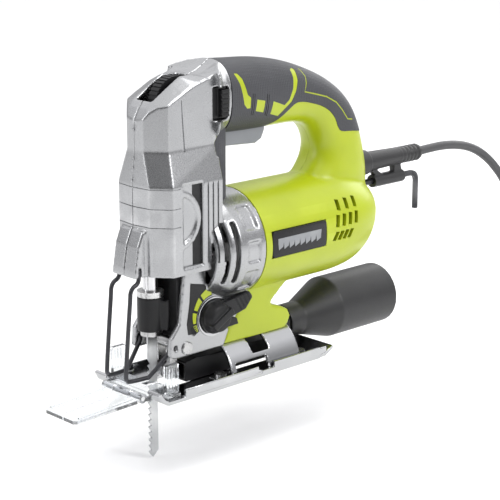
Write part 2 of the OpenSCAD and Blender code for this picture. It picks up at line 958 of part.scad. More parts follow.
module trigger() {
    color([0.36, 0.38, 0.4])
        difference() {
            union() {
                side([[0.6, 152.3], [-30, 150.5], [-35.5, 153], [-38.4, 159],
                    [-38.6, 164], [-36, 166.5], [-3, 166.5], [0.6, 164]], 16.8);
                along_y(1.5, -8.65, 8.65, x = trigger_x, z = trigger_z);
            }
            block([-35, -6.4, 155], [-5, 6.4, 170]);
        }
}

module trigger_switch() {
    color([0.15, 0.15, 0.15]) {
        block([-36, -9, 174.5], [-6, 9, 193]);
        along_z(2, 171.8, 175, x = -32);
    }
}

module lock_button() {
    color([0.1, 0.1, 0.11])
        difference() {
            union() {
                block([5, 14.5, 173], [17, 19, 193]);
                block([6, 18.5, 174.5], [12.5, 23, 191.5]);
            }
            for (z = [176 : 3 : 190])
                block([5, 22.2, z], [13, 24, z + 1.3]);
        }
}

module speed_board() {
    color([0.1, 0.35, 0.15]) {
        block([8.6, -12, 172], [10.2, 11, 202]);
        block([10.2, -8, 176], [15.5, 2, 188]);
    }
}

module dial_axle() {
    color("lightgray")
        along_y(2, -16, 16, x = dial_x, z = dial_z);
}

module speed_dial() {
    notches = 36;
    color([0.08, 0.08, 0.08])
        difference() {
            along_y(dial_r, -3.8, 3.8, x = dial_x, z = dial_z);
            along_y(2 + run_gap, -5, 5, x = dial_x, z = dial_z);
            for (i = [0 : notches - 1])
                translate([dial_x, 0, dial_z])
                    rotate([0, i * 360 / notches, 0])
                        block([dial_r - 0.7, -5, -0.5], [dial_r + 1, 5, 0.5]);
        }
}

// ---- finger guard ----------------------------------------------------------------

wire_r = 1.4;
GUARD = [[71, 9.5, 84], [71, 9.5, 78], [72.5, 9.5, 75.2], [75.5, 9.5, 73.6],
    [77.6, 9.5, 70.5], [78.3, 9.5, 64], [80.5, 9.5, 42], [82.6, 9.5, 18], [82, 9.5, 14.6],
    [79.5, 9.5, 13], [67.5, 10.5, 12.8], [64.5, 11.2, 13.8], [53.5, 14.4, 25],
    [51, 14.8, 28.5], [50, 17, 30.5], [50, 19.8, 30.5]];

module guard_wire() {
    color([0.1, 0.1, 0.11])
        both_sides()
            tube(GUARD, wire_r, 10);
}

// ---- shoe ----------------------------------------------------------------------------

hinge_x = 77;
hinge_z = 3.6;
notch_w = 22;
rim_t = 2;
SHOE_SIDE = [[-81.3, 5], [-75.5, 1.6], [shoe_rear, 0], [shoe_front, 0], [72.3, 2.8],
    [75.3, 8], [73.2, 9.4], [70.2, 4.8], [shoe_front - 0.8, shoe_t], [shoe_rear, shoe_t],
    [-74.7, 4], [-80.4, 7]];

module shoe_plate() {
    color("silver")
        difference() {
            union() {
                side(SHOE_SIDE, shoe_w);
                both_sides() {
                    block([shoe_rear, shoe_w / 2 - rim_t, 0], [-25, shoe_w / 2, 8]);
                    block([-26, shoe_w / 2 - rim_t, 0], [-14, shoe_w / 2, 4]);
                    block([44, shoe_w / 2 - rim_t, 0], [53, shoe_w / 2, 7]);
                }
            }
            // notch for the blade, open to the front
            block([30, -notch_w / 2, -1], [80, notch_w / 2, 12]);
            block([66, -20.5, -1], [80, 20.5, 12]);
            // opening under the saddle
            block([-44, -14, -1], [-5, 14, 12]);
            both_sides() {
                along_z(2.4, -1, 10, x = 16, y = 24);
                along_z(2.4, -1, 10, x = -56, y = 24);
            }
        }
}

saddle_x0 = -51.4;
saddle_x1 = 10;
saddle_t = 2.5;

module saddle_bracket() {
    foot_z = shoe_t + 0.02;
    color("gainsboro")
        difference() {
            union() {
                difference() {
                    along_x(saddle_r, saddle_x0, saddle_x1);
                    along_x(saddle_r - saddle_t, saddle_x0 - 1, saddle_x1 + 1);
                }
                both_sides() {
                    block([-2, 19, foot_z], [22, 29.8, foot_z + saddle_t]);
                    block([-62, 19, foot_z], [-42, 29.8, foot_z + saddle_t]);
                }
            }
            block([-100, -50, -50], [50, 50, foot_z]);
            // clamp slot across the top, windows and foot cut-outs on both sides
            block([screw_x - 3.4, -13, 20], [screw_x + 3.4, 13, 40]);
            both_sides() {
                block([-26, 14, 12], [-11, 25.5, 24]);
                block([-22, 21, -1], [6, 32, 12]);
                along_z(2.4, -1, 10, x = 16, y = 24);
                along_z(2.4, -1, 10, x = -56, y = 24);
            }
        }
}

module saddle_screws() {
    color("gray")
        both_sides()
            for (x = [-56, 16])
                difference() {
                    union() {
                        along_z(2.3, 0.4, shoe_t + saddle_t + 0.02, x = x, y = 24);
                        along_z(4, shoe_t + saddle_t + 0.02, shoe_t + saddle_t + 2.2, x = x,
                            y = 24);
                    }
                    along_z(1.6, shoe_t + saddle_t + 0.6, 10, x = x, y = 24, $fn = 6);
                }
}

module shoe_clamp_screw() {
    color("gray")
        difference() {
            union() {
                along_z(6, 20.5, 25.5, x = screw_x);
                along_z(3, 25, 45, x = screw_x);
            }
            along_z(2.3, 20, 23.5, x = screw_x, $fn = 6);
        }
}

insert_z = shoe_t + 0.1;

module clear_insert() {
    color([0.85, 0.9, 0.95, 0.5])
        difference() {
            union() {
                plan([[51.3, -10.8], [66.6, -10.8], [66.6, 10.8], [51.3, 10.8]], 0.3, 4.4);
                plan([[55, -24], [65.8, -24], [66.6, -19], [66.6, 19], [65.8, 24], [55, 24]],
                    insert_z, 4.6);
                plan([[66.1, -19], [73.4, -19], [73.4, 19], [66.1, 19]], 0.8, 4.6);
                both_sides() {
                    block([55, 23, insert_z], [65, 29.8, 5]);
                    block([55, 25, insert_z], [65, 28, 24]);
                    difference() {
                        along_y(3.1, 8, 19, x = hinge_x, z = hinge_z);
                        along_y(1.6, 7, 20, x = hinge_x, z = hinge_z);
                    }
                    difference() {
                        block([72.5, 8, 1.2], [hinge_x, 19, 4.6]);
                        along_y(2.4, 7, 20, x = hinge_x, z = hinge_z);
                    }
                }
            }
            block([50, -2.1, -1], [61, 2.1, 8]);
            // finger grooves in the ears
            both_sides()
                for (x = [57.5, 60, 62.5])
                    block([x, 27.4, 9], [x + 1, 29, 22]);
            both_sides()
                along_z(4.2, 3, 12, x = 49, y = 24);
        }
}

module guide_pin() {
    color("lightgray")
        along_y(1.5, -19, 19, x = hinge_x, z = hinge_z);
}

guide_length = 51;
guide_droop = 3;

module line_guide() {
    color([0.88, 0.92, 0.97, 0.5])
        translate([hinge_x, 0, hinge_z])
            rotate([0, guide_droop, 0])
                difference() {
                    union() {
                        along_y(3.1, -7.7, 7.7);
                        block([1, -7.7, -2.6], [5, 7.7, -0.4]);
                        plan([[3.8, -18], [guide_length - 2, -15.5], [guide_length, -13.5],
                            [guide_length, 13.5], [guide_length - 2, 15.5], [3.8, 18]],
                            -2.6, -0.4);
                        for (y = [-14, 14])
                            block([5, y - 0.6, -0.5], [guide_length - 4, y + 0.6, 0.5]);
                    }
                    along_y(1.5 + run_gap, -9, 9);
                    block([12, -0.7, -4], [guide_length - 6, 0.7, 2]);
                }
}

// ---- dust path ----------------------------------------------------------------------

DUCT = [[36, 3], [36, 16], [26, 17.5], [10, 16.5], [-40, 16.5], [-52, 21], [-60, 26],
    [-60, 7], [-50, 3]];
neck_x = -61;
neck_z = 20;
neck_r = 9.5;
adapter_z = 22.5;

module dust_duct() {
    color([0.1, 0.1, 0.11]) {
        difference() {
            side(DUCT, 24);
            side([[37, 4.8], [37, 14.5], [26, 15.7], [10, 14.8], [-40, 14.8], [-52, 19],
                [-61, 24], [-61, 9], [-50, 4.8]], 20.4);
        }
        difference() {
            along_x(neck_r, neck_x - 10, neck_x + 2, z = neck_z);
            along_x(neck_r - 1.8, neck_x - 11, neck_x + 3, z = neck_z);
        }
    }
}

module dust_adapter() {
    tube_x = -104;
    end_x = -158;
    socket_r = 9.6;
    color([0.07, 0.07, 0.08])
        difference() {
            union() {
                along_x(neck_r + 2.3, neck_x - 16, neck_x - 1, z = neck_z);
                hull() {
                    along_x(neck_r + 2.3, neck_x - 16, neck_x - 15, z = neck_z,
                        $fn = 48);
                    along_x(adapter_r, tube_x, tube_x + 1, z = adapter_z, $fn = 48);
                }
                along_x(adapter_r, end_x, tube_x + 0.5, z = adapter_z);
            }
            along_x(socket_r, neck_x - 12, neck_x, z = neck_z);
            hull() {
                along_x(8, neck_x - 13, neck_x - 11.5, z = neck_z, $fn = 48);
                along_x(adapter_bore_r, tube_x - 1, tube_x, z = adapter_z, $fn = 48);
            }
            along_x(adapter_bore_r, end_x - 1, tube_x, z = adapter_z);
        }
}

// ---- lead, strain relief and key --------------------------------------------------------

boot_end = -201;

module strain_relief() {
    rings = 7;
    color([0.1, 0.1, 0.11])
        difference() {
            union() {
                along_x(8.9, -144, -131.5, z = boot_z);
                cone_x(5.4, 7.2, boot_end, -143.5, z = boot_z);
                for (i = [0 : rings - 1])
                    along_x(6.2, boot_end + 2 + i * 4, boot_end + 4 + i * 4, z = boot_z);
                side([[-146, 116], [-152, 116], [-164, 108], [-157, 108]], 5);
                side([[-173, 117], [-180, 117], [-182.5, 108], [-174, 108]], 5);
                along_x(4.6, -184, -152, z = key_z);
            }
            along_x(2.4, -190, -145, z = key_z);
        }
}

// An L-shaped key, 4 mm across its flats
key_r = 2 / cos(30);

module hex_key() {
    bend = 6;
    color([0.08, 0.08, 0.09]) {
        translate([-132, 0, key_z])
            rotate([0, -90, 0])
                cylinder(r = key_r, h = 62, $fn = 6);
        translate([-194, 0, key_z - bend])
            rotate([90, 0, 180])
                rotate_extrude(angle = 90, $fn = 48)
                    translate([bend, 0])
                        rotate(30)
                            circle(r = key_r, $fn = 6);
        translate([-194 - bend, 0, key_z - bend - 21])
            rotate(30)
                cylinder(r = key_r, h = 21, $fn = 6);
    }
}

module cord_lead() {
    color([0.2, 0.2, 0.21])
        tube(LEAD, cord_r, 10);
}

module cord_coil() {
    color([0.2, 0.2, 0.21])
        translate([coil_x, coil_y, floor_z])
            rotate_extrude()
                translate([coil_inner_r, 0])
                    square([coil_outer_r - coil_inner_r, coil_h]);
}

module cord_tail() {
    color([0.2, 0.2, 0.21])
        tube(TAIL, cord_r, 10);
}

module plug() {
    body_l = 34;
    pin_l = 19;
    color([0.12, 0.12, 0.13])
        translate([0, plug_y, 0])
            side([[plug_x, floor_z], [plug_x, cord_floor + 4], [plug_x + 12, floor_z + 13],
                [plug_x + body_l, floor_z + 13], [plug_x + body_l, floor_z]], 24);
    color("lightgray")
        for (y = [-9, 9])
            along_x(2, plug_x + body_l, plug_x + body_l + pin_l, y = plug_y + y,
                z = floor_z + 6.5);
}

// ---- nodes -------------------------------------------------------------------------------

gear_cover_left();
gear_cover_right();
housing_left();
housing_right();
grip_left();
grip_right();
badge_plate();
chamber_liner();
bearing_bracket();
gear_axle();
field_stator();
front_bearing();
rear_bearing();
brush_holders();
carbon_brushes();
trigger_switch();
speed_board();
dial_axle();
upper_bush();
lower_bush();
fork_pin();
guard_wire();
shoe_clamp_screw();
housing_screws();
cover_screws();
strain_relief();
cord_lead();
cord_coil();
cord_tail();
plug();
hex_key();
armature_shaft();
armature_core();
commutator();
cooling_fan();
drive_gear();
crank_roller();
plunger();
yoke();
clamp_hub();
blade();
clamp_sleeve();
clamp_spring();
roller_fork();
roller_axle();
guide_roller();
orbit_knob();
trigger();
lock_button();
speed_dial();
shoe_plate();
saddle_bracket();
saddle_screws();
clear_insert();
guide_pin();
dust_duct();
line_guide();
dust_adapter();
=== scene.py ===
import json
import math

import bmesh
import bpy
import numpy as np
from mathutils import Matrix, Vector


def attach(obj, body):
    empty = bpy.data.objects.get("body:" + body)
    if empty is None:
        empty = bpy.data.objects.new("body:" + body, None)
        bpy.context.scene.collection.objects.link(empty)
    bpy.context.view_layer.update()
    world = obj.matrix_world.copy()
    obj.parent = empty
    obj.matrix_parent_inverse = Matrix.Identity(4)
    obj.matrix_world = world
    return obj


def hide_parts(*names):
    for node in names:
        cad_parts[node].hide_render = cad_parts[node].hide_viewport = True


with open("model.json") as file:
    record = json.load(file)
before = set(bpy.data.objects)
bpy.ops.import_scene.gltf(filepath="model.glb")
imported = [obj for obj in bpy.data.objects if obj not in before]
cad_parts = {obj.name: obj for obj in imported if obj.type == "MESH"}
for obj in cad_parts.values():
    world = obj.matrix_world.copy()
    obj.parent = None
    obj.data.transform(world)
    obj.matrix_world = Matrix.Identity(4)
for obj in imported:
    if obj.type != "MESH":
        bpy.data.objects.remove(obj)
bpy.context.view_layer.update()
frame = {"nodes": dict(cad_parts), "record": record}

MM = 0.001
NODES = frame["nodes"]
SCENE = bpy.context.scene

# ---- camera, at the photograph's angle -----------------------------------------------

AZ, EL = 0.7569, 0.2580  # round from the left side, and up, in radians
DISTANCE, ASIDE, ABOVE = 1.06667, 0.024, 0.0796
BACK = Vector((math.sin(AZ) * math.cos(EL), math.cos(AZ) * math.cos(EL), math.sin(EL)))
RIGHT = Vector((-math.cos(AZ), math.sin(AZ), 0))
UP = BACK.cross(RIGHT)
cam_data = bpy.data.cameras.new("camera")
cam = bpy.data.objects.new("camera", cam_data)
SCENE.collection.objects.link(cam)
cam_data.lens = 115.2
cam_data.sensor_width = 36
cam_data.clip_start, cam_data.clip_end = 0.05, 50
cam.location = BACK * DISTANCE + RIGHT * ASIDE + UP * ABOVE
cam.rotation_mode = "QUATERNION"
cam.rotation_quaternion = (-BACK).to_track_quat("-Z", "Y")
SCENE.camera = cam

# ---- mesh helpers: shapes are made in millimetres, and scaled when they become pieces 


def link(name, me):
    ob = bpy.data.objects.new(name, me)
    SCENE.collection.objects.link(ob)
    return ob


def solid(name, verts, faces):
    me = bpy.data.meshes.new(name)
    me.from_pydata([tuple(v) for v in verts], [], faces)
    bm = bmesh.new()
    bm.from_mesh(me)
    bmesh.ops.recalc_face_normals(bm, faces=bm.faces)
    bm.to_mesh(me)
    bm.free()
    return link(name, me)


def apply(ob):
    """The object's modifiers become its mesh."""
    dg = bpy.context.evaluated_depsgraph_get()
    me = bpy.data.meshes.new_from_object(ob.evaluated_get(dg))
    ob.modifiers.clear()
    old = ob.data
    ob.data = me
    bpy.data.meshes.remove(old)
    return ob


def drop(*obs):
    for o in obs:
        me = o.data
        bpy.data.objects.remove(o)
        bpy.data.meshes.remove(me)


def combine(a, tools, how="DIFFERENCE"):
    """a less, or joined with, or kept inside, each of the tools, which are then dropped."""
    for t in tools:
        m = a.modifiers.new("b", "BOOLEAN")
        m.operation = how
        m.object = t
        m.solver = "MANIFOLD"
    apply(a)
    drop(*tools)
    return a


def skin(rings, name="skin"):
    """Rings of equal length joined into one closed shape, with a cap at each end."""
    n, m = len(rings[0]), len(rings)
    verts = [p for r in rings for p in r]
    faces = [list(range(n)), list(range((m - 1) * n, m * n))]
    for j in range(m - 1):
        faces += [[j * n + i, j * n + (i + 1) % n, (j + 1) * n + (i + 1) % n, (j + 1) * n + i]
                  for i in range(n)]
    return solid(name, verts, faces)


# A place on an axis and the two other coordinates, put in X, Y, Z order
PUT = {"x": lambda c, u, v: (c, u, v), "y": lambda c, u, v: (u, c, v),
       "z": lambda c, u, v: (u, v, c)}


def prism(outline, low, high, axis="y", name="prism"):
    """An outline drawn out between two places on an axis."""
    return skin([[PUT[axis](c, a, b) for a, b in outline] for c in (low, high)], name)


def block(low, high):
    (a, b, c), (d, e, f) = low, high
    return prism([(a, b), (d, b), (d, e), (a, e)], c, f, "z", "block")


def lathe(profile, axis="x", at=(0, 0), n=96, name="lathe"):
    """A profile of (place on the axis, radius) turned about it, closed at both ends.
    at is the axis's place on the other two axes, in X, Y, Z order."""
    turns = [2 * math.pi * i / n for i in range(n)]
    return skin([[PUT[axis](c, at[0] + r * math.cos(w), at[1] + r * math.sin(w))
                  for w in turns] for c, r in profile], name)


def rod(r, low, high, axis="x", at=(0, 0)):
    """A cylinder between two places on an axis."""
    return lathe([(low, r), (high, r)], axis, at, 64, "rod")


def spline(points, steps):
    """Points on a smooth curve through the given ones."""
    p = np.array(points, float)
    q = np.vstack([2 * p[0] - p[1], p, 2 * p[-1] - p[-2]])
    out = []
    for i in range(len(p) - 1):
        a, b, c, d = q[i:i + 4]
        for s in np.arange(steps) / steps:
            out.append(0.5 * (2 * b + (c - a) * s + (2 * a - 5 * b + 4 * c - d) * s * s
                              + (3 * b - a - 3 * c + d) * s ** 3))
    out.append(p[-1])
    return np.array(out)


def tube(path, radius, n=16, name="tube"):
    """A round tube along a path of points, with no twist."""
    path = [Vector(p) for p in path]
    t = [(path[min(i + 1, len(path) - 1)] - path[max(i - 1, 0)]).normalized()
         for i in range(len(path))]
    u = t[0].orthogonal().normalized()
    rings = []
    for i, p in enumerate(path):
        u = (u - t[i] * u.dot(t[i])).normalized()
        v = t[i].cross(u)
        rings.append([p + (u * math.cos(w) + v * math.sin(w)) * radius
                      for w in (2 * math.pi * k / n for k in range(n))])
    return skin(rings, name)


def remesh(ob, voxel):
    m = ob.modifiers.new("r", "REMESH")
    m.mode = "VOXEL"
    m.voxel_size = voxel
    return apply(ob)


def relax(ob, rounds):
    """Rounds the edges off by moving each vertex halfway to its neighbours' middle."""
    me = ob.data
    n = len(me.vertices)
    co = np.empty(n * 3, np.float32)
    me.vertices.foreach_get("co", co)
    co = co.reshape(-1, 3).astype(float)
    e = np.empty(len(me.edges) * 2, np.int32)
    me.edges.foreach_get("vertices", e)
    a, b = e.reshape(-1, 2).T
    deg = np.bincount(a, minlength=n) + np.bincount(b, minlength=n)
    for _ in range(rounds):
        s = np.stack([np.bincount(a, co[b, k], n) + np.bincount(b, co[a, k], n)
                      for k in range(3)], 1)
        co += 0.5 * (s / np.maximum(deg, 1)[:, None] - co)
    me.vertices.foreach_set("co", co.astype(np.float32).ravel())
    me.update()
    return ob


def thin(ob, ratio):
    m = ob.modifiers.new("d", "DECIMATE")
    m.ratio = ratio
    return apply(ob)


def bevel(ob, width, segments=3):
    """Rounds every edge of 30 degrees or more."""
    m = ob.modifiers.new("bevel", "BEVEL")
    m.width, m.segments = width, segments
    m.limit_method, m.angle_limit = "ANGLE", math.radians(30)
    return apply(ob)


def soften(ob, angle=35):
    """Smooth shading, with edges sharper than the angle kept sharp."""
    me = ob.data
    me.polygons.foreach_set("use_smooth", [True] * len(me.polygons))
    me.set_sharp_from_angle(angle=math.radians(angle))
    return ob


def cad_copy(*names):
    """A welded copy of CAD nodes, in millimetres."""
    bm = bmesh.new()
    for n in names:
        bm.from_mesh(NODES[n].data)
    bmesh.ops.remove_doubles(bm, verts=bm.verts, dist=2e-6)
    bmesh.ops.scale(bm, vec=(1000, 1000, 1000), verts=bm.verts)
    me = bpy.data.meshes.new(names[0])
    bm.to_mesh(me)
    bm.free()
    return link("copy_" + names[0], me)


def piece(ob, name, body, mat, stands_for=(), angle=35):
    """A shape in millimetres becomes a piece of the model, in metres."""
    ob.name = name
    ob.data.transform(Matrix.Scale(MM, 4))
    ob.data.materials.clear()
    ob.data.materials.append(mat)
    soften(ob, angle)
    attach(ob, body)
    if stands_for:
        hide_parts(*([stands_for] if isinstance(stands_for, str) else stands_for))
    return ob


def rounded(node, voxel, rounds, mat, body):
    """A CAD node with its edges rounded, as its own piece."""
    ob = cad_copy(node)
    remesh(ob, voxel)
    relax(ob, rounds)
    thin(ob, 0.4)
    return piece(ob, node + "_v", body, mat, node)


# ---- materials: all procedural -------------------------------------------------------


def material(name, base, rough, metal=0.0, vary=0.08, rough_vary=0.08, grain=1500.0,
             depth=0.05, stretch=(1, 1, 1), wear=None, pattern=None, dirt=0.0, **sockets):
    """Principled material: a mottled colour, uneven roughness, a fine bump and worn edges.
    grain is the bump's fineness per metre, and depth its strength."""
    mat = bpy.data.materials.new(name)
    mat.use_nodes = True
    nt = mat.node_tree
    bsdf = nt.nodes["Principled BSDF"]

    def node(kind, **values):
        nd = nt.nodes.new(kind)
        for k, v in values.items():
            if k in nd.inputs:
                nd.inputs[k].default_value = v
            else:
                setattr(nd, k, v)
        return nd

    wire = nt.links.new
    where = node("ShaderNodeTexCoord").outputs["Object"]
    mapping = node("ShaderNodeMapping")
    mapping.inputs["Scale"].default_value = stretch
    wire(where, mapping.inputs["Vector"])
    broad = node("ShaderNodeTexNoise", Scale=38.0, Detail=4.0)
    wire(where, broad.inputs["Vector"])
    fine = node("ShaderNodeTexNoise", Scale=grain, Detail=3.0)
    wire(mapping.outputs[0], fine.inputs["Vector"])

    def ramp(source, low, high, a, b):
        r = node("ShaderNodeMapRange")
        wire(source, r.inputs["Value"])
        r.inputs["From Min"].default_value, r.inputs["From Max"].default_value = low, high
        r.inputs["To Min"].default_value, r.inputs["To Max"].default_value = a, b
        return r.outputs["Result"]

    def mix(factor, a, b):
        m = node("ShaderNodeMix", data_type="RGBA")
        wire(factor, m.inputs[0])
        for v, s in ((a, m.inputs[6]), (b, m.inputs[7])):
            if isinstance(v, tuple):
                s.default_value = (*v, 1)
            else:
                wire(v, s)
        return m.outputs[2]

    dark = tuple(c * (1 - vary) for c in base)
    light = tuple(min(1, c * (1 + vary)) for c in base)
    colour = mix(ramp(broad.outputs["Fac"], 0.3, 0.7, 0, 1), dark, light)
    if dirt:
        colour = mix(ramp(fine.outputs["Fac"], 0.35, 0.75, 0, dirt), colour,
                     tuple(c * 0.55 for c in base))
    if wear:
        edge = ramp(node("ShaderNodeNewGeometry").outputs["Pointiness"], 0.53, 0.62, 0, 0.5)
        scuff = node("ShaderNodeMath", operation="MULTIPLY")
        wire(edge, scuff.inputs[0])
        wire(ramp(broad.outputs["Fac"], 0.42, 0.62, 0, 1), scuff.inputs[1])
        colour = mix(scuff.outputs[0], colour, wear)
    wire(colour, bsdf.inputs["Base Color"])
    wire(ramp(fine.outputs["Fac"], 0.25, 0.75, rough - rough_vary, rough + rough_vary),
         bsdf.inputs["Roughness"])
    height = fine.outputs["Fac"]
    if pattern == "knurl":
        dots = node("ShaderNodeTexVoronoi", Scale=620.0, Randomness=0.15)
        wire(where, dots.inputs["Vector"])
        height = ramp(dots.outputs["Distance"], 0.0, 0.55, 1, 0)
    elif pattern == "scratch":
        lines = node("ShaderNodeTexNoise", Scale=260.0, Detail=5.0)
        wire(mapping.outputs[0], lines.inputs["Vector"])
        height = lines.outputs["Fac"]
    bump = node("ShaderNodeBump", Strength=depth, Distance=0.0004)
    wire(height, bump.inputs["Height"])
    wire(bump.outputs[0], bsdf.inputs["Normal"])
    bsdf.inputs["Metallic"].default_value = metal
    for k, v in sockets.items():
        bsdf.inputs[k.replace("_", " ")].default_value = v
    return mat


M = {
    "silver": material("silver_paint", (0.38, 0.384, 0.392), 0.27, metal=0.9, vary=0.05,
                       rough_vary=0.05, grain=2600, depth=0.05, wear=(0.82, 0.82, 0.83),
                       Coat_Weight=0.35, Coat_Roughness=0.18),
    "lime": material("lime_plastic", (0.40, 0.475, 0.008), 0.34, vary=0.05, rough_vary=0.07,
                     grain=1900, depth=0.07, wear=(0.62, 0.72, 0.08),
                     Subsurface_Weight=0.04, Subsurface_Scale=0.002, Coat_Weight=0.15,
                     Coat_Roughness=0.25),
    "rubber": material("grip_rubber", (0.045, 0.046, 0.052), 0.56, vary=0.12, grain=1100,
                       depth=0.35, pattern="knurl", wear=(0.11, 0.11, 0.12)),
    "black": material("black_plastic", (0.009, 0.009, 0.010), 0.42, vary=0.15, grain=1700,
                      depth=0.14, wear=(0.05, 0.05, 0.053), Specular_IOR_Level=0.32),
    "black_soft": material("black_moulded", (0.018, 0.018, 0.019), 0.46, vary=0.15,
                           grain=1300, depth=0.18, wear=(0.09, 0.09, 0.095)),
    "grey": material("grey_plastic", (0.22, 0.23, 0.245), 0.4, vary=0.06, grain=1800,
                     depth=0.1, wear=(0.36, 0.37, 0.38)),
    "badge": material("badge_gloss", (0.010, 0.010, 0.011), 0.32, vary=0.2, grain=900,
                      depth=0.03, Specular_IOR_Level=0.3),
    "chrome": material("plated_steel", (0.45, 0.455, 0.465), 0.16, metal=1.0, vary=0.04,
                       rough_vary=0.05, grain=420, depth=0.05, stretch=(0.25, 1, 1),
                       pattern="scratch", wear=(0.9, 0.9, 0.9)),
    "zinc": material("zinc_steel", (0.5, 0.5, 0.5), 0.3, metal=1.0, vary=0.1, grain=900,
                     depth=0.07, wear=(0.75, 0.75, 0.75), dirt=0.2),
    "dark_steel": material("blackened_steel", (0.045, 0.045, 0.05), 0.34, metal=0.6,
                           vary=0.15, grain=1200, depth=0.06, wear=(0.3, 0.3, 0.31)),
    "ground": material("ground_steel", (0.62, 0.62, 0.63), 0.2, metal=1.0, vary=0.05,
                       grain=900, depth=0.05, stretch=(1, 1, 0.2)),
    "blade": material("blade_steel", (0.50, 0.51, 0.52), 0.33, metal=1.0, vary=0.06,
                      grain=700, depth=0.12, stretch=(1, 1, 0.08), pattern="scratch",
                      wear=(0.85, 0.85, 0.85), dirt=0.12),
    "bronze": material("bronze", (0.55, 0.38, 0.17), 0.4, metal=0.9, vary=0.12, grain=1500),
    "copper": material("copper", (0.66, 0.34, 0.18), 0.3, metal=0.95, vary=0.1,
                       stretch=(0.1, 1, 1)),
    "iron": material("iron_laminate", (0.26, 0.25, 0.24), 0.45, metal=0.8, vary=0.15,
                     stretch=(8, 0.3, 0.3), depth=0.25),
    "carbon": material("carbon", (0.03, 0.03, 0.03), 0.6, vary=0.2, grain=2500, depth=0.2),
    "brass": material("brass", (0.62, 0.48, 0.2), 0.3, metal=0.95, vary=0.1),
    "circuit": material("circuit_board", (0.02, 0.13, 0.05), 0.35, vary=0.2, grain=500),
    "alloy": material("die_cast_alloy", (0.5, 0.5, 0.5), 0.45, metal=0.9, vary=0.12,
                      grain=900, depth=0.25, dirt=0.2),
    "clear": material("clear_polycarbonate", (0.93, 0.95, 0.97), 0.07, vary=0.02,
                      rough_vary=0.03, grain=500, depth=0.03, Transmission_Weight=0.96,
                      IOR=1.5),
    "cord": material("cord_rubber", (0.06, 0.06, 0.063), 0.5, vary=0.12, grain=900,
                     depth=0.15, wear=(0.12, 0.12, 0.12)),
}
CAD_FINISH = {
    "cast_silver": "silver", "lime_plastic": "lime", "grip_rubber": "rubber",
    "black_plastic": "black", "grey_plastic": "grey", "badge": "badge",
    "clear_plastic": "clear", "chromed_steel": "chrome", "zinc_steel": "zinc",
    "dark_steel": "dark_steel", "ground_steel": "ground", "blade_steel": "blade",
    "bronze": "bronze", "copper": "copper", "iron_laminate": "iron", "carbon": "carbon",
    "brass_part": "brass", "circuit": "circuit", "cast_alloy": "alloy",
    "cord_rubber": "cord",
}
SLOT_OF = {s["node"]: s["material_slot"] for s in frame["record"]["subparts"]}
for node_name, node_ob in NODES.items():
    node_ob.data.materials.clear()
    node_ob.data.materials.append(M[CAD_FINISH[SLOT_OF[node_name]]])

# ---- light and floor -----------------------------------------------------------------

world = bpy.data.worlds.new("studio")
SCENE.world = world
world.use_nodes = True
wn = world.node_tree
background = wn.nodes["Background"]
sky = wn.nodes.new("ShaderNodeTexGradient")
sky_map = wn.nodes.new("ShaderNodeMapping")
sky_map.inputs["Rotation"].default_value = (0, math.radians(90), 0)
sky_coord = wn.nodes.new("ShaderNodeTexCoord")
sky_ramp = wn.nodes.new("ShaderNodeValToRGB")
# dark near the horizon, bright overhead, for contrast on the metal and a white floor
ramp = sky_ramp.color_ramp
ramp.elements[0].position, ramp.elements[0].color = 0.0, (0.5, 0.5, 0.51, 1)
ramp.elements[1].position, ramp.elements[1].color = 1.0, (1, 1, 1, 1)
for place, grey in ((0.12, 0.35), (0.32, 0.55), (0.56, 1.0)):
    ramp.elements.new(place).color = (grey, grey, grey * 1.02, 1)
wn.links.new(sky_coord.outputs["Generated"], sky_map.inputs["Vector"])
wn.links.new(sky_map.outputs[0], sky.inputs["Vector"])
wn.links.new(sky.outputs["Color"], sky_ramp.inputs["Fac"])
# the low sky is darker on the side the camera stands, so the faceted casting reads
facing = wn.nodes.new("ShaderNodeVectorMath")
facing.operation = "DOT_PRODUCT"
facing.inputs[1].default_value = (math.sin(AZ), math.cos(AZ), -0.55)
wn.links.new(sky_coord.outputs["Generated"], facing.inputs[0])
shade = wn.nodes.new("ShaderNodeMapRange")
for socket, value in (("From Min", 0.35), ("From Max", 0.8), ("To Min", 1.0), ("To Max", 0.12)):
    shade.inputs[socket].default_value = value
wn.links.new(facing.outputs["Value"], shade.inputs["Value"])
tint = wn.nodes.new("ShaderNodeVectorMath")
tint.operation = "SCALE"
wn.links.new(sky_ramp.outputs[0], tint.inputs[0])
wn.links.new(shade.outputs["Result"], tint.inputs["Scale"])
wn.links.new(tint.outputs[0], background.inputs["Color"])
background.inputs["Strength"].default_value = 1.25
SCENE.view_settings.view_transform = "Standard"
SCENE.view_settings.look = "None"


CENTRE = Vector((-0.02, 0, 0.1))


def lamp(name, place, size, power):
    """A soft rectangular light that faces the tool."""
    data = bpy.data.lights.new(name, "AREA")
    data.shape = "RECTANGLE"
    data.size, data.size_y = size
    data.energy = power
    ob = bpy.data.objects.new(name, data)
    SCENE.collection.objects.link(ob)
    ob.location = place
    ob.rotation_mode = "QUATERNION"
    ob.rotation_quaternion = (CENTRE - Vector(place)).to_track_quat("-Z", "Y")
    return ob


lamp("key", BACK * 0.6 + RIGHT * 1.2 + Vector((0, 0, 0.8)), (0.35, 0.7), 8.0)
lamp("left", BACK * 0.5 + RIGHT * -1.3 + Vector((0, 0, 0.5)), (0.25, 0.9), 3.5)
lamp("top", (-0.1, 0.1, 1.2), (0.7, 0.4), 4)
lamp("rim", BACK * -0.9 + RIGHT * 0.6 + Vector((0, 0, 0.7)), (0.8, 0.5), 3)

FLOOR_Z = -0.048
floor = solid("floor", [(-4, -4, FLOOR_Z), (4, -4, FLOOR_Z), (4, 4, FLOOR_Z), (-4, 4, FLOOR_Z)],
              [[0, 1, 2, 3]])
floor.data.materials.append(material("floor_pale", (0.93, 0.93, 0.93), 0.7, vary=0.01,
                                     grain=60, depth=0.01))

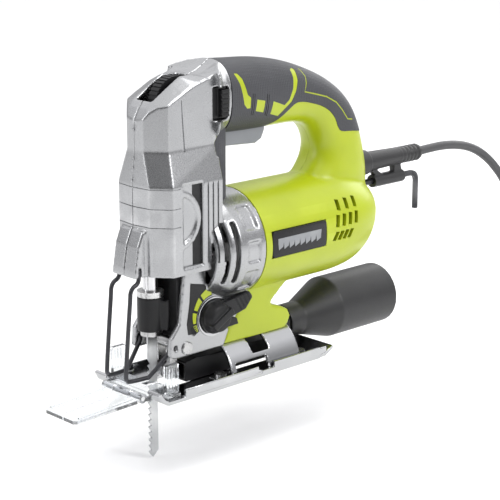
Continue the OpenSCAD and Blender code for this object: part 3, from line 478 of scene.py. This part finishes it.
# ---- the lead, its coil and its plug -------------------------------------------------

CORD_R = 3.25
CORD_FLOOR = -48 + CORD_R
LEAD = [(-201, 0, 120.5), (-215, 0, 121), (-230, 0, 121), (-245, 0, 119.5), (-260, 0, 116),
        (-274, 0, 110), (-287, 0.5, 101), (-297.5, 3, 89), (-304, 7.5, 75), (-307, 13.5, 60),
        (-308, 20, 44), (-308.5, 25, 27), (-309, 28, 9), (-310, 29, -8), (-313.5, 28, -22),
        (-320, 25, -33), (-329, 19, -41), (-339, 9.25, CORD_FLOOR), (-351, -2.75, CORD_FLOOR)]
COIL_X, COIL_Y, COIL_OUT = -395, 18, 45.75
STEP = 2 * CORD_R


def ease(s):
    return s * s * (3 - 2 * s)


def coil_point(t):
    """t turns in: inwards on the floor, a climb, then outwards on top."""
    whole, part = divmod(max(t, 0), 1)
    shift = ease((part - 0.72) / 0.28) if part > 0.72 else 0.0
    z = 0.0
    if t < 3:
        r = COIL_OUT - STEP * (whole + shift)
    elif t < 4:
        r = COIL_OUT - 3 * STEP
        z = math.sqrt(max(0, 1 - (1 - shift) ** 2))
    else:
        r = COIL_OUT - 3 * STEP + STEP * (whole - 4 + shift)
        z = 1.0
    w = math.radians(270) - 2 * math.pi * t
    return (COIL_X + r * math.cos(w), COIL_Y + r * math.sin(w), CORD_FLOOR + STEP * z)


TURN_IN, TURN_OUT, COIL_POINTS = -0.125, 7.5, 550
coil = [coil_point(TURN_IN + (TURN_OUT - TURN_IN) * i / (COIL_POINTS - 1))
        for i in range(COIL_POINTS)]
tail_y = COIL_Y + COIL_OUT
tail = [(-389, tail_y, CORD_FLOOR + STEP * 0.93), (-381, tail_y, CORD_FLOOR + STEP * 0.62),
        (-373, tail_y, CORD_FLOOR + STEP * 0.28), (-365, tail_y, CORD_FLOOR + STEP * 0.05),
        (-357, tail_y, CORD_FLOOR), (-349.5, tail_y, CORD_FLOOR)]
lead_path = list(spline(LEAD, 8)) + coil + list(spline(tail, 4))
lead = piece(tube(lead_path, CORD_R, 14, "lead"), "lead", "housing", M["cord"],
             ["cord_lead", "cord_coil", "cord_tail"])
plug = rounded("plug", 0.45, 3, M["black_soft"], "housing")

# ---- housing: lofted handle, domed motor barrel and strut, blended into one moulding -

HANDLE = [(6, 208, 6, 161, 21), (-12, 207, -12, 160, 20.5), (-35, 205.5, -33, 159.5, 19),
          (-57, 201.5, -50, 159.5, 18), (-77, 195, -64, 159.5, 17.5),
          (-95, 187, -76, 157.5, 17), (-110, 177, -83, 152.5, 17),
          (-121, 165, -87, 146, 17), (-128, 151, -88.5, 139, 17.5),
          (-133, 136, -86, 131, 18), (-136.5, 121, -80, 124, 18.5),
          (-137, 108, -70, 114, 19), (-133, 95, -66, 100, 19)]
MOTOR_Z, MOTOR_R = 87, 35.8
RING_REAR = -14.4


def handle(inset, name="handle", steps=5, n=72):
    rings = []
    for ox, oz, ix, iz, hw in spline(HANDLE, steps):
        cx, cz, dx, dz = (ox + ix) / 2, (oz + iz) / 2, (ox - ix) / 2, (oz - iz) / 2
        reach = math.hypot(dx, dz)
        k = (reach - inset) / reach
        ring = []
        for j in range(n):
            w = 2 * math.pi * (j + 0.5) / n
            a = math.copysign(abs(math.cos(w)) ** 0.82, math.cos(w)) * k
            b = math.copysign(abs(math.sin(w)) ** 0.82, math.sin(w)) * (hw - inset)
            ring.append((cx + a * dx, b, cz + a * dz))
        rings.append(ring)
    return skin(rings, name)


def barrel(inset, front, name="barrel"):
    r = MOTOR_R - inset
    dome = [(-88 - 50 * math.sin(w) + inset * w, 15 + (r - 15) * math.cos(w))
            for w in (math.pi / 2 * i / 16 for i in range(17))]
    ob = lathe([(front, r)] + dome, "x", (0, MOTOR_Z), 128, name)
    d = inset
    leaning = prism([(front + 1, 40), (-100 + d, 40), (-109 + d, 56), (-120 + d, 74),
                     (-129 + d, 92), (-140 + d, 112), (-140 + d, 130), (front + 1, 130)],
                    -60, 60)
    return combine(ob, [leaning], "INTERSECT")


GRIP_EDGE = spline([(-24, 157.5), (-30, 160), (-37, 161.3), (-44, 164.5), (-51, 170.2),
                    (-57.5, 174.4), (-64, 174.8), (-72, 173.2), (-82, 170.2), (-90, 166),
                    (-96, 160), (-99.5, 153), (-103, 150.3), (-110, 149.6), (-120, 148.2),
                    (-145, 143)], 4)


def grip_region(d=0.0):
    edge = [(x, z + d) for x, z in GRIP_EDGE]
    return prism([(1.8, 215), (1.8, 126), (-24, 126)] + edge + [(-145, 215)], -60, 60)


body = barrel(0, RING_REAR + 4, "housing")
strut = prism([(8.7, 23.5), (4.2, 33), (5.7, 36.8), (-0.3, 38.3), (-13.3, 56.8), (-13.3, 62),
               (-56, 62), (-50, 56.5), (-33, 43), (-45, 38.8), (-50.5, 36), (-53, 31),
               (-50.5, 25.5), (-46, 22.5)], -19, 19)
combine(body, [handle(0), strut], "UNION")
remesh(body, 1.1)
relax(body, 7)
thin(body, 0.5)
WALL = 3
# the soft grip's recess, and the core that shows through the grip's flashes
shell = handle(1.45, "core")
combine(shell, [grip_region(-0.3)], "INTERSECT")
combine(body, [grip_region()])
combine(body, [shell], "UNION")
# the hollow inside, less the screw bosses and the ribs that hold the motor
SCREWS = ((-98, 168), (-120, 118), (-88, 116), (-30, 47))
inside = barrel(WALL, RING_REAR + 8, "inside")
combine(inside, [handle(WALL + 0.4)], "UNION")
combine(inside, [rod(5.2, -40, 40, "y", place) for place in SCREWS])
for x0, x1, bore in ((-66, -63, 27.1), (-36, -33, 27.1), (-108, -100, 11.05)):
    rib = rod(MOTOR_R, x0, x1, "x", (0, MOTOR_Z))
    combine(rib, [rod(bore, x0 - 1, x1 + 1, "x", (0, MOTOR_Z))])
    combine(inside, [rib])
combine(body, [inside])
combine(body, [
    # the castings in front, the trigger, the strain relief, the key, the saddle and its screw
    block((-2.4, -60, 124), (30, 60, 215)),
    prism([(RING_REAR - 0.05, 57.5), (-13, 57), (-0.1, 38.5), (5.9, 37), (30, 37), (30, 130),
           (RING_REAR - 0.05, 130)], -60, 60),
    block((-40, -8.8, 148), (3, 8.8, 170)),
    rod(9.1, -160, -131, "x", (0, 120.5)),
    rod(2.7, -160, -126, "x", (0, 105.5)),
    rod(30.4, -60, 12.5, "x", (0, 0)),
    rod(3.1, 15, 46, "z", (-18, 0))])
for place in SCREWS:
    combine(body, [rod(2.1, -20, 13, "y", place), rod(4.0, -60, -13, "y", place)])
# louvres: three rows of leaning slots on each side
for side_y in (1, -1):
    for row, (x0, z0, x1, count, tall) in enumerate(((-83, 108, -106, 3, 7.5),
                                                     (-80.5, 98.5, -104, 4, 8.5),
                                                     (-79, 87.5, -97, 4, 6.5))):
        for i in range(count):
            x = x0 + (x1 - x0) * i / (count - 0.2)
            lean = 1.4 * (row + 0.4)
            slot = [(x, z0), (x - 3.4, z0 - 0.6), (x - 3.4 + lean, z0 - tall),
                    (x + lean, z0 - tall + 0.6)]
            lo, hi = (20, 45) if side_y > 0 else (-45, -20)
            combine(body, [prism(slot, lo, hi)])
combine(body, [block((-70, MOTOR_R - 2.6, 79.3), (-19.5, 45, 97.5))])


def halves(ob, name, mat, nodes):
    """Splits a shape into its left and right mouldings, with a fine parting line."""
    gap = 0.1
    right = link(name + "_right", ob.data.copy())
    combine(ob, [block((-600, gap, -600), (600, 600, 600))], "INTERSECT")
    combine(right, [block((-600, -600, -600), (600, -gap, 600))], "INTERSECT")
    piece(ob, name + "_left_v", "housing", mat, nodes[0])
    piece(right, name + "_right_v", "housing", mat, nodes[1])


halves(body, "housing", M["lime"], ("housing_left", "housing_right"))

# ---- soft grip, with the flashes that stand in it ------------------------------------

FLASHES = [
    [(-2.5, 199.9), (-5.4, 199.6), (-8.4, 196.0), (-10.8, 188.6), (-11.8, 185.7),
     (-14.7, 183.5), (-14.5, 176.8), (-11.4, 176.9), (-8.6, 179.9), (-7.3, 185.8),
     (-5.4, 193.2)],
    [(-20.5, 181.6), (-28.3, 179.9), (-27.4, 172.3), (-19.7, 174.2)],
    [(-36.1, 178.6), (-42.1, 176.5), (-46.9, 174.7), (-51.2, 177.9), (-54.6, 184.5),
     (-56.2, 191.8), (-55.9, 196.7), (-58.5, 197.4), (-60.5, 196.2), (-60.1, 189.7),
     (-57.5, 182.6), (-53.5, 176.4), (-47.8, 172.2), (-42.7, 167.8), (-34.5, 170.3)],
]
THIN = [(-66.3, 196.3), (-69.0, 191.0), (-68.2, 187.0), (-65.9, 181.4), (-76, 178.8),
        (-87.3, 175.7), (-97.0, 170.8), (-103.3, 164.5), (-108.3, 158.1), (-113.9, 157.2)]


def ribbon(points, width):
    """The outline of a line of constant width through the points."""
    p = [Vector(q) for q in points]
    left, right = [], []
    for i, q in enumerate(p):
        t = (p[min(i + 1, len(p) - 1)] - p[max(i - 1, 0)]).normalized()
        m = Vector((-t.y, t.x)) * width / 2
        left.append(tuple(q + m))
        right.append(tuple(q - m))
    return left + right[::-1]


def shell_between(outer, inner, region):
    ob = handle(outer, "grip", steps=7, n=96)
    combine(ob, [handle(inner, steps=7, n=96)])
    return combine(ob, [region], "INTERSECT")


outlines = FLASHES + [ribbon(THIN, 0.9)]
grip = shell_between(-0.25, 1.5, grip_region(0.15))
pillar = block((1, -15, 115), (14.2, 15, 167.7))
bevel(pillar, 2.5, 4)
combine(pillar, [block((3.5, -12.5, 110), (11.8, 12.5, 170)),
                 rod(MOTOR_R + 0.3, -20, 30, "x", (0, MOTOR_Z))])
combine(grip, [pillar], "UNION")
combine(grip, [block((-40, -8.8, 148), (1.2, 8.8, 170)), rod(4.0, -60, -13, "y", (-98, 168))])
for k, outline in enumerate(outlines):
    for side_y in (1, -1):
        lo, hi = (6, 40) if side_y > 0 else (-40, -6)
        combine(grip, [prism(outline, lo, hi)])
        f = shell_between(-0.1, 1.3, prism(outline, lo, hi))
        piece(f, "flash_%d_%s" % (k, "l" if side_y > 0 else "r"), "housing", M["lime"])
# finger grooves between the flashes, and a moulded line round the grip
for gx, gz in ((-16.6, 179), (-18.2, 178.6), (-30.2, 177), (-31.8, 176.4)):
    for lo, hi in ((14, 40), (-40, -14)):
        combine(grip, [prism([(gx - 0.25, gz + 7), (gx + 0.25, gz + 7), (gx + 1.0, gz - 7),
                              (gx + 0.4, gz - 7)], lo, hi)])
halves(grip, "grip", M["rubber"], ("grip_left", "grip_right"))

# ---- cast gear covers ----------------------------------------------------------------

FACETS = [(50, 30), (57.6, 27.4), (67.6, 15.6), (70.5, 0)]
FACETS_IN = [(65.6, 0), (65.0, 14.8), (55.8, 25.4), (50, 25.4)]


def seam(z, side_y):
    """A fine parting groove round the front facets, following their outline."""
    rim = [(x, side_y * y) for x, y in FACETS + FACETS_IN]
    return prism(rim, z, z + 0.55, "z")


def cover_cuts(side_y):
    lo, hi = (15, 60) if side_y > 0 else (-60, -15)
    near, far = (24.6, 40) if side_y > 0 else (-40, -24.6)
    cuts = [seam(z, side_y) for z in (134.6, 122.4, 110.6)]
    # long wedge-shaped crease up the side, and the step below it
    cuts.append(prism([(43.4, 188), (43.0, 188.6), (40.6, 156), (42.6, 156)],
                      *((19.2, 40) if side_y > 0 else (-40, -19.2))))
    cuts.append(block((66.9, -0.3, 84), (80, 0.3, 190)))
    cuts.append(block((30, -0.3, 186), (66, 0.3, 212)))
    # the pocket beside the strap, deeper than the CAD's
    y0, y1 = (23.5, 30) if side_y > 0 else (-30, -23.5)
    deep = prism([(31.4, 84), (47.6, 84), (47.6, 136), (31.4, 136)], y0, y1)
    cuts.append(combine(deep, [rod(19.6, -40, 40, "y", (52.5, 114.5))]))
    # ribbed panel behind the pocket
    for x in (18.2, 22.4, 26.6):
        cuts.append(prism([(x, 84), (x + 1.3, 84), (x + 1.3, 134), (x + 0.6, 136.5),
                           (x, 134)], near, far))
    return cuts


TOP = [(80, 160, 156), (66.5, 176, 172), (64, 179.5, 176), (58, 187, 183.5), (50, 192, 188),
       (42, 197, 192), (35, 201, 195.5), (28, 201.3, 198), (21, 200.3, 200), (15, 202, 203),
       (9, 205, 208), (1, 210, 212), (-10, 212, 214)]


def above_top(drop_by):
    """Everything above the head's sloping top, which is lowered by drop_by."""
    rings = []
    for x, rim, edge in TOP:
        rim, edge = rim - drop_by, edge - drop_by
        low = edge - (rim - edge) * 1.6
        rings.append([(x, -40, low), (x, -20.5, edge), (x, -8.5, rim), (x, 8.5, rim),
                      (x, 20.5, edge), (x, 40, low), (x, 40, 240), (x, -40, 240)])
    return skin(rings, "above_top")


COLLAR = ((0, 23.4, 20.8, 0.82), (1.9, 23.6, 21.0, 0.82), (6, 24.4, 21.6, 0.78),
          (11, 26, 23, 0.7), (17, 30, 27, 0.6))


def oval(inset):
    """The flare from the handle's oval section to the head's box."""
    rings = []
    for x, dz, hw, power in COLLAR:
        ring = []
        for j in range(64):
            w = 2 * math.pi * (j + 0.5) / 64
            y, z = math.sin(w), math.cos(w)
            ring.append((x, math.copysign(abs(y) ** power, y) * (hw - inset),
                         184.6 + math.copysign(abs(z) ** power, z) * (dz - inset)))
        rings.append(ring)
    return skin(rings, "oval")


def head_outer(low, high):
    side = prism([(12, low), (67.5, low), (65, 176), (60.5, 184), (52, 197), (42, 204.5),
                  (31, 208.4), (18, 209.3), (2, 208.3), (2, 168), (12, 168)], -60, 60)
    plan = prism([(2, -20.5), (54, -19.5), (64, -8), (65, 0), (64, 8), (54, 19.5),
                  (2, 20.5)], low, high, "z")
    return combine(side, [plan], "INTERSECT")


for node, side_y in (("gear_cover_left", 1), ("gear_cover_right", -1)):
    cover = cad_copy(node)
    combine(cover, [above_top(0), combine(block((0.5, -60, 150), (16.5, 60, 240)),
                                          [oval(0)])])
    other = block((-90, -60, 100), (90, 0, 260)) if side_y > 0 else \
        block((-90, 0, 100), (90, 60, 260))
    lid = head_outer(165, 215)
    combine(lid, [above_top(3)], "INTERSECT")
    rim = combine(oval(0), [oval(3)])
    combine(rim, [block((2, -60, 163), (16.5, 60, 240))], "INTERSECT")
    combine(lid, [combine(block((0.5, -60, 150), (16.5, 60, 240)), [oval(0)])])
    combine(lid, [rim], "UNION")
    combine(lid, [above_top(0), other])
    combine(cover, [lid], "UNION")
    combine(cover, [prism([(56, 182), (44, 187), (33, 191), (22.5, 194), (22.5, 215),
                           (60, 215)], -7.5, 7.5), rod(17.3, -4.6, 4.6, "y", (34, 184))])
    if side_y > 0:
        combine(cover, [block((4.6, 10, 172.6), (17.4, 40, 193.4))])
    remesh(cover, 0.72)
    relax(cover, 3)
    combine(cover, cover_cuts(side_y))
    thin(cover, 0.45)
    piece(cover, node + "_v", "housing", M["silver"], node)
    # painted shade: black plates laid in the corners behind the curved strap, standing in for
    # the shadow in the deep pocket
    near, far = (23.4, 23.7) if side_y > 0 else (-23.7, -23.4)
    painted_shade_plate = prism([(31.6, 84.2), (38.5, 84.2), (38.5, 135.8), (31.6, 135.8)], near, far)
    combine(painted_shade_plate, [rod(19.9, -40, 40, "y", (52.5, 114.5))])
    piece(painted_shade_plate, "strap_painted_shade_%s" % ("l" if side_y > 0 else "r"), "housing", M["black"])

# ---- badge: blank gloss plate with a plain saw-tooth mark ----------------------------


def round_rect(x0, z0, x1, z1, r):
    out = []
    for cx, cz, w0 in ((x1 - r, z1 - r, 0), (x0 + r, z1 - r, 90), (x0 + r, z0 + r, 180),
                       (x1 - r, z0 + r, 270)):
        for i in range(7):
            w = math.radians(w0 + 15 * i)
            out.append((cx + r * math.cos(w), cz + r * math.sin(w)))
    return out


plate = bevel(prism(round_rect(-69.6, 79.7, -19.9, 97.1, 2.2), 33.4, 35.7), 0.35)
piece(plate, "badge_v", "housing", M["badge"], "badge_plate")
teeth = [(-64.5, 92)]
for i in range(8):
    x = -64.5 + 5 * i
    teeth += [(x + 0.6, 86.2), (x + 4.4, 84.4), (x + 5.0, 89.2)]
teeth += [(-24.5, 92)]
mark = prism(teeth, 35.4, 35.85)
piece(mark, "badge_mark", "housing", M["grey"])

# ---- orbit knob, its bezel and its scale ---------------------------------------------

KNOB = (18.6, 45.6)
knob = cad_copy("orbit_knob")
combine(knob, [lathe([(20.2, 11.0), (22.8, 11.0), (23.6, 10.5), (27.6, 8.9), (28.8, 8.1),
                      (29.2, 6.6), (29.2, 0.5)], "y", KNOB, 72)], "UNION")


def turned(points, degrees):
    """Points in X and Z, turned about the knob's axis and moved to it."""
    c, s = math.cos(math.radians(degrees)), math.sin(math.radians(degrees))
    return [(KNOB[0] + a * c - b * s, KNOB[1] + a * s + b * c) for a, b in points]


def bar(low, high, half_width):
    return [(low, -half_width), (high, -half_width), (high, half_width), (low, half_width)]


KNOB_TURN = 150
combine(knob, [prism(turned(bar(-9.5, 9.5, 2.2), KNOB_TURN), 24, 31.5)], "UNION")
for i in range(5):
    low = 17 + 3.1 * i
    combine(knob, [prism(turned(bar(low, low + 1.1, 8), KNOB_TURN), 25.4, 27)])
remesh(knob, 0.38)
relax(knob, 3)
thin(knob, 0.4)
piece(knob, "orbit_knob_v", "orbit_knob", M["black"], "orbit_knob")
bezel = lathe([(20.0, 11.6), (20.0, 13.3), (20.7, 13.1), (20.9, 12.4), (20.7, 11.8)], "y",
              KNOB, 72, "bezel")
piece(bezel, "knob_bezel", "housing", M["chrome"])
SCALE = [(37.4, 71.0), (26.2, 68.4), (20.2, 62.4), (19.5, 59.9)]
for i in range(13):
    w = math.radians(94 - 10.5 * i)
    SCALE.append((KNOB[0] + 14.2 * math.cos(w), KNOB[1] + 14.2 * math.sin(w)))
SCALE += [(33.2, 37.0), (39.8, 37.4), (40.8, 44.5), (38.4, 58)]
scale_plate = prism(SCALE, 19.9, 20.35)
piece(scale_plate, "orbit_scale", "housing", M["badge"])
for k, (w0, w1, r1) in enumerate(((84, 56, 20.5), (50, 24, 19.2), (18, -6, 18.4),
                                  (-11, -28, 17.6))):
    pts = []
    for i in range(7):
        w = math.radians(w0 + (w1 - w0) * i / 6)
        pts.append((KNOB[0] + 15.0 * math.cos(w), KNOB[1] + 15.0 * math.sin(w)))
    for i in range(7):
        w = math.radians(w1 + (w0 - w1) * i / 6)
        r = r1 - 1.2 * (6 - i) / 6
        pts.append((KNOB[0] + r * math.cos(w), KNOB[1] + r * math.sin(w)))
    piece(prism(pts, 20.3, 20.55), "orbit_band_%d" % k, "housing", M["lime"])
for k in range(4):
    tick = prism(turned(bar(15.6, 19.6, 0.35), -14 - 5 * k), 20.5, 20.7)
    piece(tick, "orbit_tick_%d" % k, "housing", M["badge"])

# ---- fork pin's head and guard wires -------------------------------------------------

pin = lathe([(-21, 2.15), (20.1, 2.15), (20.1, 4.2), (20.9, 4.2), (21.4, 3.7), (21.6, 2.4),
             (21.6, 0.4)], "y", (41, 29), 48, "fork_pin")
piece(pin, "fork_pin_v", "housing", M["zinc"], "fork_pin")

GUARD = [(71, 9.5, 84), (71, 9.5, 78), (72.5, 9.5, 75.2), (75.5, 9.5, 73.6),
         (77.6, 9.5, 70.5), (78.3, 9.5, 64), (80.5, 9.5, 42), (82.6, 9.5, 18),
         (82, 9.5, 14.6), (79.5, 9.5, 13), (67.5, 10.5, 12.8), (64.5, 11.2, 13.8),
         (53.5, 14.4, 25), (51, 14.8, 28.5), (50, 17, 30.5), (50, 19.8, 30.5)]
for side_y in (1, -1):
    wire = tube(spline([(x, side_y * y, z) for x, y, z in GUARD], 5), 1.4, 18)
    piece(wire, "guard_wire_%s" % ("l" if side_y > 0 else "r"), "housing", M["dark_steel"],
          "guard_wire", angle=60)

# ---- shoe, saddle and the rest of the small castings ---------------------------------

rounded("shoe_plate", 0.55, 2, M["chrome"], "shoe")
rounded("saddle_bracket", 0.55, 2, M["chrome"], "shoe")
RIM = [(29.6, 0.3), (31.4, 0.1), (32.4, 1.0), (32.1, 6.8), (31.5, 7.3), (30.8, 7.0),
       (30.9, 2.3), (29.6, 2.1)]
NOTCH = [(-27, 5.4), (-23, 3.6), (-15, 3.6), (-11, 5.4), (-11, 12), (-27, 12)]
for side_y in (1, -1):
    rim = prism([(side_y * y, z) for y, z in RIM], -74.5, 52.5, "x")
    combine(rim, [prism(NOTCH, 20, 40), prism(NOTCH, -40, -20)])
    bevel(rim, 0.3, 2)
    piece(rim, "shoe_rim_%s" % ("l" if side_y > 0 else "r"), "shoe", M["chrome"])
rounded("trigger", 0.5, 4, M["grey"], "trigger")
rounded("lock_button", 0.35, 2, M["black"], "lock_button")
rounded("strain_relief", 0.45, 2, M["black_soft"], "housing")
rounded("clamp_sleeve", 0.4, 2, M["black"], "clamp_sleeve")
rounded("dust_duct", 0.6, 2, M["black"], "shoe")
rounded("dust_adapter", 0.6, 3, M["black_soft"], "dust_adapter")
